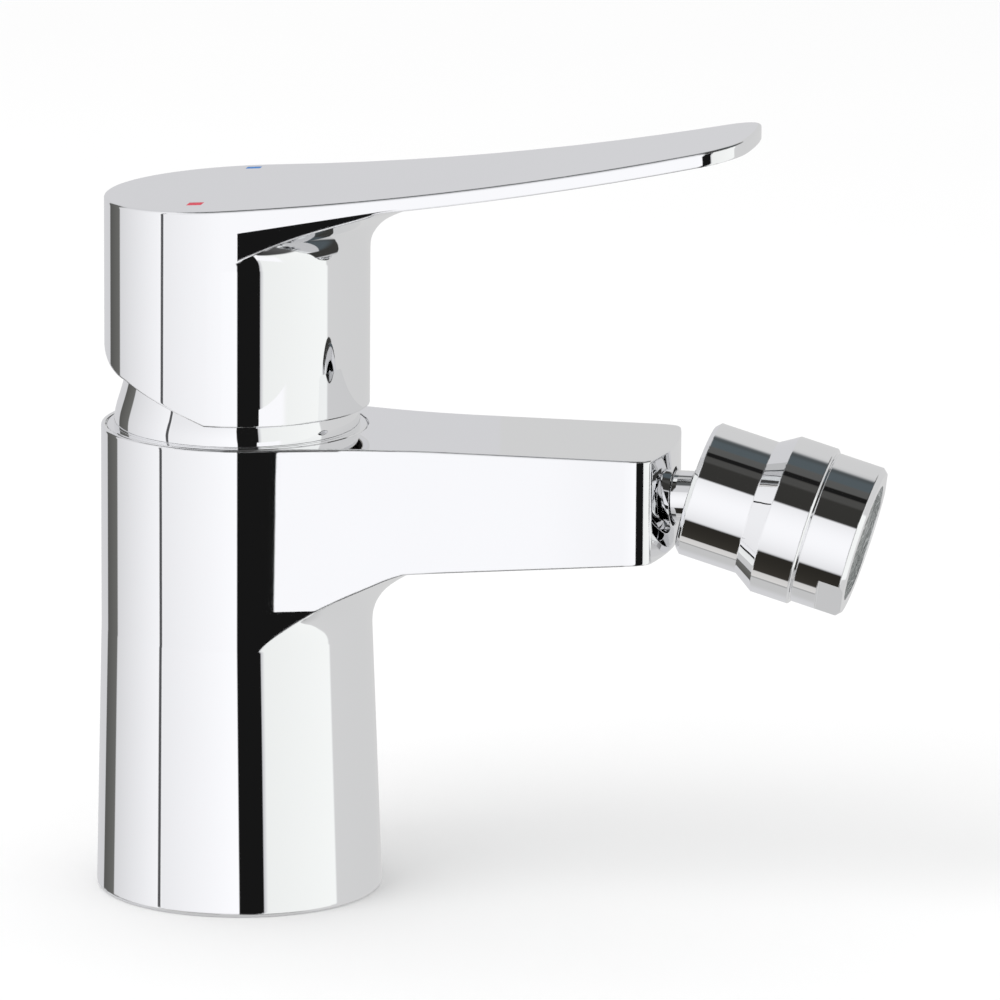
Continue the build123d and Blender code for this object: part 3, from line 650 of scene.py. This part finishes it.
@dataclass
class Studio:
    """Plain pale room with white panels, black flags, soft lamps and a pale floor."""

    camera_bearing: float = 281.2212
    room_shade: float = 0.61
    room_tint: Colour = (1.0, 1.0, 1.025)
    plate_share: float = 0.905
    ambient: float = 0.95
    floor_radius: float = 1.7
    floor_drop: float = 0.0001
    floor_sides: int = 96
    floor_grain: Grain = Grain(6.0, 2.0, 0.4)
    floor_shades: Span = (0.97, 0.99)
    key_place: Point = (-0.5, -0.7, 1.1)
    key_aim: Point = (0.04, 0.0, 0.06)
    key_size: float = 0.8
    key_power: float = 4.0
    cards: Tuple[Card, ...] = (
        Card("side_card", (0.0263, 0.062), -0.05, ((0.046, 0.082), (0.046, 0.082)), 0.95, 0.012),
        Card("root_flag", (0.0049, 0.0329), -0.04, ((0.1104, 0.1166), (0.12, 0.1211)), 0.008, 0.005),
    )
    panels: Tuple[Panel, ...] = (
        Panel("floor_shade", (-190.0, 190.0), (-95.0, -52.0), (0.53, 0.53), edge=(2.0, 16.0)),
        Panel("left_wall", (-121.0, -60.0), (-56.0, 60.0), (0.66, 0.94), (1.0, 1.0, 1.02), (1.5, 10.0)),
        Panel("low_wall", (-111.0, -77.0), (-82.0, -46.0), (0.66, 0.6), (1.02, 1.0, 0.98), (2.0, 5.0)),
        Panel("low_seam", (-119.0, -111.0), (-82.0, -46.0), (0.36, 0.36), edge=(3.0, 5.0)),
        Panel("front_panel", (-64.5, 6.0), (-38.0, 31.0), (0.83, 1.0), (1.0, 1.0, 1.02), (3.0, 3.0), 0.16),
        Panel("right_panel", (23.5, 87.0), (-64.0, 27.0), (0.86, 0.93), (0.985, 1.0, 0.985), (3.0, 6.0)),
        Panel("right_wall", (87.0, 190.0), (-58.0, 60.0), (0.63, 0.6), edge=(3.0, 8.0)),
        Panel("ceiling", (-190.0, 190.0), (60.0, 95.0), (0.1, 0.1), (0.95, 1.0, 1.02), (2.0, 8.0)),
        Panel("overhead", (-14.0, 147.0), (31.5, 95.0), (0.032, 0.05), (1.0, 0.98, 0.91), (6.0, 3.0)),
        Panel("overhead_rib", (-14.0, 60.0), (59.0, 69.0), (0.066, 0.066), (1.0, 0.99, 0.95), (6.0, 4.0)),
        Panel("overhead_slot", (-14.0, 46.0), (69.5, 75.0), (0.01, 0.01), edge=(6.0, 1.5)),
        Panel("overhead_top", (-14.0, 147.0), (75.5, 95.0), (0.088, 0.1), (0.99, 1.0, 0.98), (6.0, 1.5)),
        Panel("overhead_glass", (92.0, 146.0), (50.0, 95.0), (0.1, 0.1), (0.82, 1.0, 1.1), (24.0, 6.0)),
        Panel("low_left_flag", (-77.0, -20.0), (-67.5, -40.0), (0.037, 0.017), (1.04, 0.95, 0.8), (5.0, 3.0)),
        Panel("low_right_flag", (10.0, 100.0), (-80.0, -62.0), (0.02, 0.1), edge=(8.0, 5.0)),
        Panel("left_flag", (-142.0, -121.0), (-46.0, 26.0), (0.09, 0.14), (1.0, 1.0, 0.95), (2.0, 10.0)),
        Panel("seam", (-67.6, -65.0), (-32.0, 22.0), (0.08, 0.08), (1.0, 1.0, 1.05), (0.8, 8.0)),
        Panel("black_flag", (1.6, 21.5), (-62.0, 27.0), (0.008, 0.008), edge=(1.0, 5.0)),
    )

    def surround(self, graph: Graph) -> Wire:
        """Colour that polished metal sees in each direction.

        Args:
            graph: the world's graph.

        Returns:
            The colour.
        """
        way = graph.wire("ShaderNodeTexCoord", None, None, "Generated")
        turn = radians(self.camera_bearing)
        front = graph.measure("DOT_PRODUCT", way, (cos(turn), sin(turn), 0.0))
        side = graph.measure("DOT_PRODUCT", way, (-sin(turn), cos(turn), 0.0))
        rise = graph.measure("DOT_PRODUCT", way, (0.0, 0.0, 1.0))
        bearing = graph.wire("ShaderNodeMath", {"operation": "ARCTAN2"}, {0: side, 1: front})
        bearing = bearing * degrees(1.0)
        height = graph.wire("ShaderNodeMath", {"operation": "ARCSINE"}, {0: rise}) * degrees(1.0)
        colour: Value = rgba(scaled(self.room_tint, self.room_shade / self.plate_share))
        for panel in self.panels:
            low, high = panel.bearing
            blend = (bearing - low) / (high - low)
            first, second = (
                rgba(scaled(panel.tint, shade / self.plate_share)) for shade in panel.shades
            )
            mask = bearing.within(panel.bearing, panel.edge[0])
            mask = mask * height.within(panel.height, panel.edge[1])
            shown = graph.mix(blend, first, second)
            if panel.fall:
                bottom, top = panel.height
                off = (height - (top + bottom) / 2) / ((top - bottom) / 2)
                shown = graph.mix(off * off * panel.fall, shown, rgba((0.0, 0.0, 0.0)))
            colour = graph.mix(mask, colour, shown)
        return colour

    def light_world(self) -> None:
        """White for the camera, an even pale light for matt surfaces, and the panels for metal."""
        world = bpy.data.worlds.new("studio")
        world.use_nodes = True
        bpy.context.scene.world = world
        graph = Graph(world.node_tree)
        rays = graph.node("ShaderNodeLightPath")
        shiny = Wire(graph, rays.outputs["Is Glossy Ray"])
        clear = Wire(graph, rays.outputs["Is Transmission Ray"])
        seen = Wire(graph, rays.outputs["Is Camera Ray"])
        even = graph.mix(shiny, rgba((self.ambient,) * 3), self.surround(graph))
        white = graph.mix(seen + clear, even, rgba((1.0, 1.0, 1.0)))
        back = graph.node("ShaderNodeBackground", None, {"Color": white, "Strength": 1.0})
        graph.node("ShaderNodeOutputWorld", None, {"Surface": Wire(graph, back.outputs[0])})

    def lay_floor(self) -> None:
        """Pale floor that keeps the mixer's shadow and isn't seen from below."""
        mesh = bmesh.new()
        bmesh.ops.create_circle(
            mesh, cap_ends=True, segments=self.floor_sides, radius=self.floor_radius
        )
        bmesh.ops.translate(mesh, verts=mesh.verts, vec=(0.0, 0.0, -self.floor_drop))
        floor = finished(mesh, "studio_floor")
        made = bpy.data.materials.new("pale_floor")
        made.use_nodes = True
        graph = Graph(made.node_tree)
        place = graph.wire("ShaderNodeTexCoord", None, None, "Object")
        cloud = graph.noise(place, self.floor_grain)
        low, high = (rgba((shade,) * 3) for shade in self.floor_shades)
        colour = graph.mix(cloud, low, high)
        pale = graph.node("ShaderNodeBsdfDiffuse", None, {"Color": colour})
        gone = graph.node("ShaderNodeBsdfTransparent")
        under = graph.wire("ShaderNodeNewGeometry", None, None, "Backfacing")
        both = graph.node(
            "ShaderNodeMixShader",
            None,
            {0: under, 1: Wire(graph, pale.outputs[0]), 2: Wire(graph, gone.outputs[0])},
        )
        graph.node("ShaderNodeOutputMaterial", None, {"Surface": Wire(graph, both.outputs[0])})
        floor.data.materials.append(made)
        floor.visible_glossy = False

    def stand_card(self, card: Card) -> None:
        """Stand one card upright, seen by polished metal alone and faded out to its right.

        Args:
            card: the card's place and shade.
        """
        left, right = card.across
        mesh = bmesh.new()
        bmesh.ops.create_grid(mesh, x_segments=1, y_segments=1, size=0.5)
        bmesh.ops.rotate(mesh, verts=mesh.verts, matrix=Matrix.Rotation(radians(-90.0), 3, "X"))
        bmesh.ops.scale(mesh, verts=mesh.verts, vec=(right - left, 1.0, 1.0))
        bmesh.ops.translate(mesh, verts=mesh.verts, vec=((left + right) / 2, card.depth, 0.0))
        for corner in mesh.verts:
            span = card.heights[corner.co.x > (left + right) / 2]
            corner.co.z = span[corner.co.z > 0.0]
        stood = finished(mesh, card.name)
        made = bpy.data.materials.new(card.name)
        made.use_nodes = True
        graph = Graph(made.node_tree)
        place = graph.wire("ShaderNodeTexCoord", None, None, "Object")
        across = graph.wire("ShaderNodeSeparateXYZ", None, {0: place})
        colour = rgba(scaled(card.tint, card.shade / self.plate_share))
        white = graph.node("ShaderNodeEmission", None, {"Color": colour, "Strength": 1.0})
        gone = graph.node("ShaderNodeBsdfTransparent")
        both = graph.node(
            "ShaderNodeMixShader",
            None,
            {
                0: across.step(right - card.fade, right),
                1: Wire(graph, white.outputs[0]),
                2: Wire(graph, gone.outputs[0]),
            },
        )
        graph.node("ShaderNodeOutputMaterial", None, {"Surface": Wire(graph, both.outputs[0])})
        stood.data.materials.append(made)
        stood.visible_camera = False
        stood.visible_diffuse = False
        stood.visible_transmission = False
        stood.visible_shadow = False

    def hang_lamp(self, name: str, place: Point, aim: Point, size: float, power: float) -> None:
        """Hang one soft square lamp that metal doesn't mirror.

        Args:
            name: the lamp's name.
            place: where it hangs, in metres.
            aim: the point it faces.
            size: its side in metres.
            power: its power in watts.
        """
        lamp = bpy.data.lights.new(name, "AREA")
        lamp.shape = "SQUARE"
        lamp.size = size
        lamp.energy = power
        made = bpy.data.objects.new(name, lamp)
        made.location = place
        made.rotation_euler = (Vector(aim) - Vector(place)).to_track_quat("-Z", "Y").to_euler()
        made.visible_glossy = False
        made.visible_camera = False
        bpy.context.scene.collection.objects.link(made)

    def build(self) -> None:
        """Build the whole studio."""
        self.light_world()
        self.lay_floor()
        for card in self.cards:
            self.stand_card(card)
        self.hang_lamp("soft_key", self.key_place, self.key_aim, self.key_size, self.key_power)


@dataclass
class CameraRig:
    """Camera at the photograph's viewing angle."""

    azimuth: float = 11.2212
    elevation: float = 12.6509
    roll: float = 0.4153
    distance: float = 1.5282
    target: Point = (0.04658, 0.0, 0.07074)
    focal_px: float = 8844.99
    frame_px: float = 1000.0
    sensor: float = 36.0
    clip: Span = (0.1, 20.0)

    def build(self) -> None:
        """Make the camera and give it to the scene."""
        turn, tilt = radians(self.azimuth), radians(self.elevation)
        view = Vector((-sin(turn) * cos(tilt), cos(turn) * cos(tilt), -sin(tilt)))
        right = Vector((cos(turn), sin(turn), 0.0))
        up = right.cross(view)
        lean = radians(self.roll)
        side = right * cos(lean) + up * sin(lean)
        top = up * cos(lean) - right * sin(lean)
        data = bpy.data.cameras.new("photo_camera")
        data.sensor_width = self.sensor
        data.lens = self.focal_px * self.sensor / self.frame_px
        data.clip_start, data.clip_end = self.clip
        made = bpy.data.objects.new("photo_camera", data)
        turned = Matrix((side, top, -view)).transposed().to_4x4()
        made.matrix_world = Matrix.Translation(Vector(self.target) - view * self.distance) @ turned
        bpy.context.scene.collection.objects.link(made)
        bpy.context.scene.camera = made


def finished(mesh: bmesh.types.BMesh, name: str) -> bpy.types.Object:
    """Turn a bmesh into an object at the origin.

    Args:
        mesh: the finished bmesh, which is freed.
        name: the object's name.

    Returns:
        The object, linked to the scene.
    """
    data = bpy.data.meshes.new(name)
    mesh.to_mesh(data)
    mesh.free()
    made = bpy.data.objects.new(name, data)
    bpy.context.scene.collection.objects.link(made)
    return made


class FinishShop:
    """Makes each finish once and hands it out."""

    def __init__(self) -> None:
        """Start with no material made."""
        self.made: Dict[Finish, bpy.types.Material] = {}

    def get(self, finish: Finish) -> bpy.types.Material:
        """The finish's material.

        Args:
            finish: the finish wanted.

        Returns:
            Its material, made on the first call.
        """
        if finish not in self.made:
            self.made[finish] = finish.material()
        return self.made[finish]


CHROME = ChromePlate("chrome", (0.9, 0.903, 0.912), 0.016)
TURNED_CHROME = ChromePlate("turned_chrome", CHROME.colour, CHROME.roughness, Easing.TURNED)
RUBBER = Rubber("black_rubber", (0.022, 0.022, 0.023), 0.58)
WHITE_PLASTIC = Moulded("white_plastic", (0.82, 0.82, 0.8), 0.34)
GREY_PLASTIC = Moulded("grey_plastic", (0.3, 0.31, 0.32), 0.36)
MESH_PLASTIC = Moulded("mesh_plastic", (0.43, 0.45, 0.44), 0.4)
CERAMIC = Lapped("white_ceramic", (0.86, 0.86, 0.84), 0.16)
RED_ENAMEL = Enamel("red_enamel", (0.72, 0.012, 0.05), 0.34)
BLUE_ENAMEL = Enamel("blue_enamel", (0.02, 0.2, 0.6), 0.34)
BRASS = TurnedMetal("brass", (0.78, 0.6, 0.33), 0.2)
STEEL = TurnedMetal("steel", (0.62, 0.62, 0.63), 0.22)


@dataclass
class SubAssembly:
    """A group of CAD nodes with their finishes."""

    shop: FinishShop

    def finishes(self) -> Dict[str, Finish]:
        """The finish of each CAD node of the group."""
        raise NotImplementedError

    def dress(self) -> None:
        """Give each CAD node its finish."""
        for node, finish in self.finishes().items():
            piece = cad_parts[node]
            if not piece.material_slots:
                piece.data.materials.append(None)
            for held in piece.material_slots:
                held.material = self.shop.get(finish)
            LOG.info("%s: %s", node, finish.slot)

    def build(self) -> None:
        """Build and dress the group."""
        self.dress()


@dataclass
class Column(SubAssembly):
    """The casting with what is fixed on and under it."""

    cavity: Hollow = Hollow(0.0201, 0.0003, 0.05)
    chamber: Hollow = Hollow(0.0195, 0.05, 0.0815)

    def finishes(self) -> Dict[str, Finish]:
        """The finish of each CAD node of the group."""
        casting = PlatedCasting(
            "chrome_casting",
            CHROME.colour,
            CHROME.roughness,
            Easing.CAST,
            hollows=(self.cavity, self.chamber),
        )
        return {
            "body_casting": casting,
            "base_gasket": RUBBER,
            "neck_seal": RUBBER,
            "cover_ring": CHROME,
            "dome_cover": CHROME,
        }


@dataclass
class Cartridge(SubAssembly):
    """The ceramic cartridge, its nut and its seals."""

    def finishes(self) -> Dict[str, Finish]:
        """The finish of each CAD node of the group."""
        return {
            "cartridge_foot": WHITE_PLASTIC,
            "port_seals": RUBBER,
            "disc_seals": RUBBER,
            "fixed_disc": CERAMIC,
            "moving_disc": CERAMIC,
            "disc_driver": GREY_PLASTIC,
            "cartridge_housing": WHITE_PLASTIC,
            "housing_o_ring": RUBBER,
            "cartridge_nut": BRASS,
            "stem_carrier": GREY_PLASTIC,
            "stem_pin": STEEL,
            "cartridge_stem": STEEL,
        }


@dataclass
class Lever(SubAssembly):
    """The lever with its screw, plug and marks."""

    hollow: Hollow = Hollow(0.0218, 0.08, 0.1171)
    bare_cast: Colour = (0.52, 0.5, 0.46)

    def finishes(self) -> Dict[str, Finish]:
        """The finish of each CAD node of the group."""
        handle = PlatedCasting(
            "chrome_lever",
            CHROME.colour,
            CHROME.roughness,
            Easing.CAST,
            bare=self.bare_cast,
            hollows=(self.hollow,),
        )
        return {
            "lever_handle": handle,
            "lever_screw": STEEL,
            "screw_plug": CHROME,
            "hot_mark": RED_ENAMEL,
            "cold_mark": BLUE_ENAMEL,
        }


@dataclass
class Nozzle(SubAssembly):
    """The swivelling nozzle with its ball and its aerator."""

    centre: Point = (0.0872, 0.0, 0.073)
    tilt: float = 16.0

    def finishes(self) -> Dict[str, Finish]:
        """The finish of each CAD node of the group."""
        tilt = radians(self.tilt)
        brass = TurnedMetal(
            "brass_retainer", BRASS.colour, BRASS.roughness, self.centre, (cos(tilt), 0.0, -sin(tilt))
        )
        return {
            "ball_stem": CHROME,
            "ball_seat": WHITE_PLASTIC,
            "ball_o_ring": RUBBER,
            "swivel_socket": TURNED_CHROME,
            "seat_retainer": brass,
            "aerator_washer": RUBBER,
            "aerator_ring": TURNED_CHROME,
            "aerator_insert": GREY_PLASTIC,
            "aerator_mesh": MESH_PLASTIC,
        }


def main() -> None:
    """Build the mixer's looks, the studio and the camera."""
    logging.basicConfig(level=logging.INFO, format="%(name)s: %(message)s")
    bpy.context.scene.view_settings.view_transform = "Standard"
    shop = FinishShop()
    for group in (Column(shop), Cartridge(shop), Lever(shop), Nozzle(shop)):
        group.build()
        LOG.info("%s done", type(group).__name__)
    Studio().build()
    CameraRig().build()


if __name__ == "__main__":
    main()
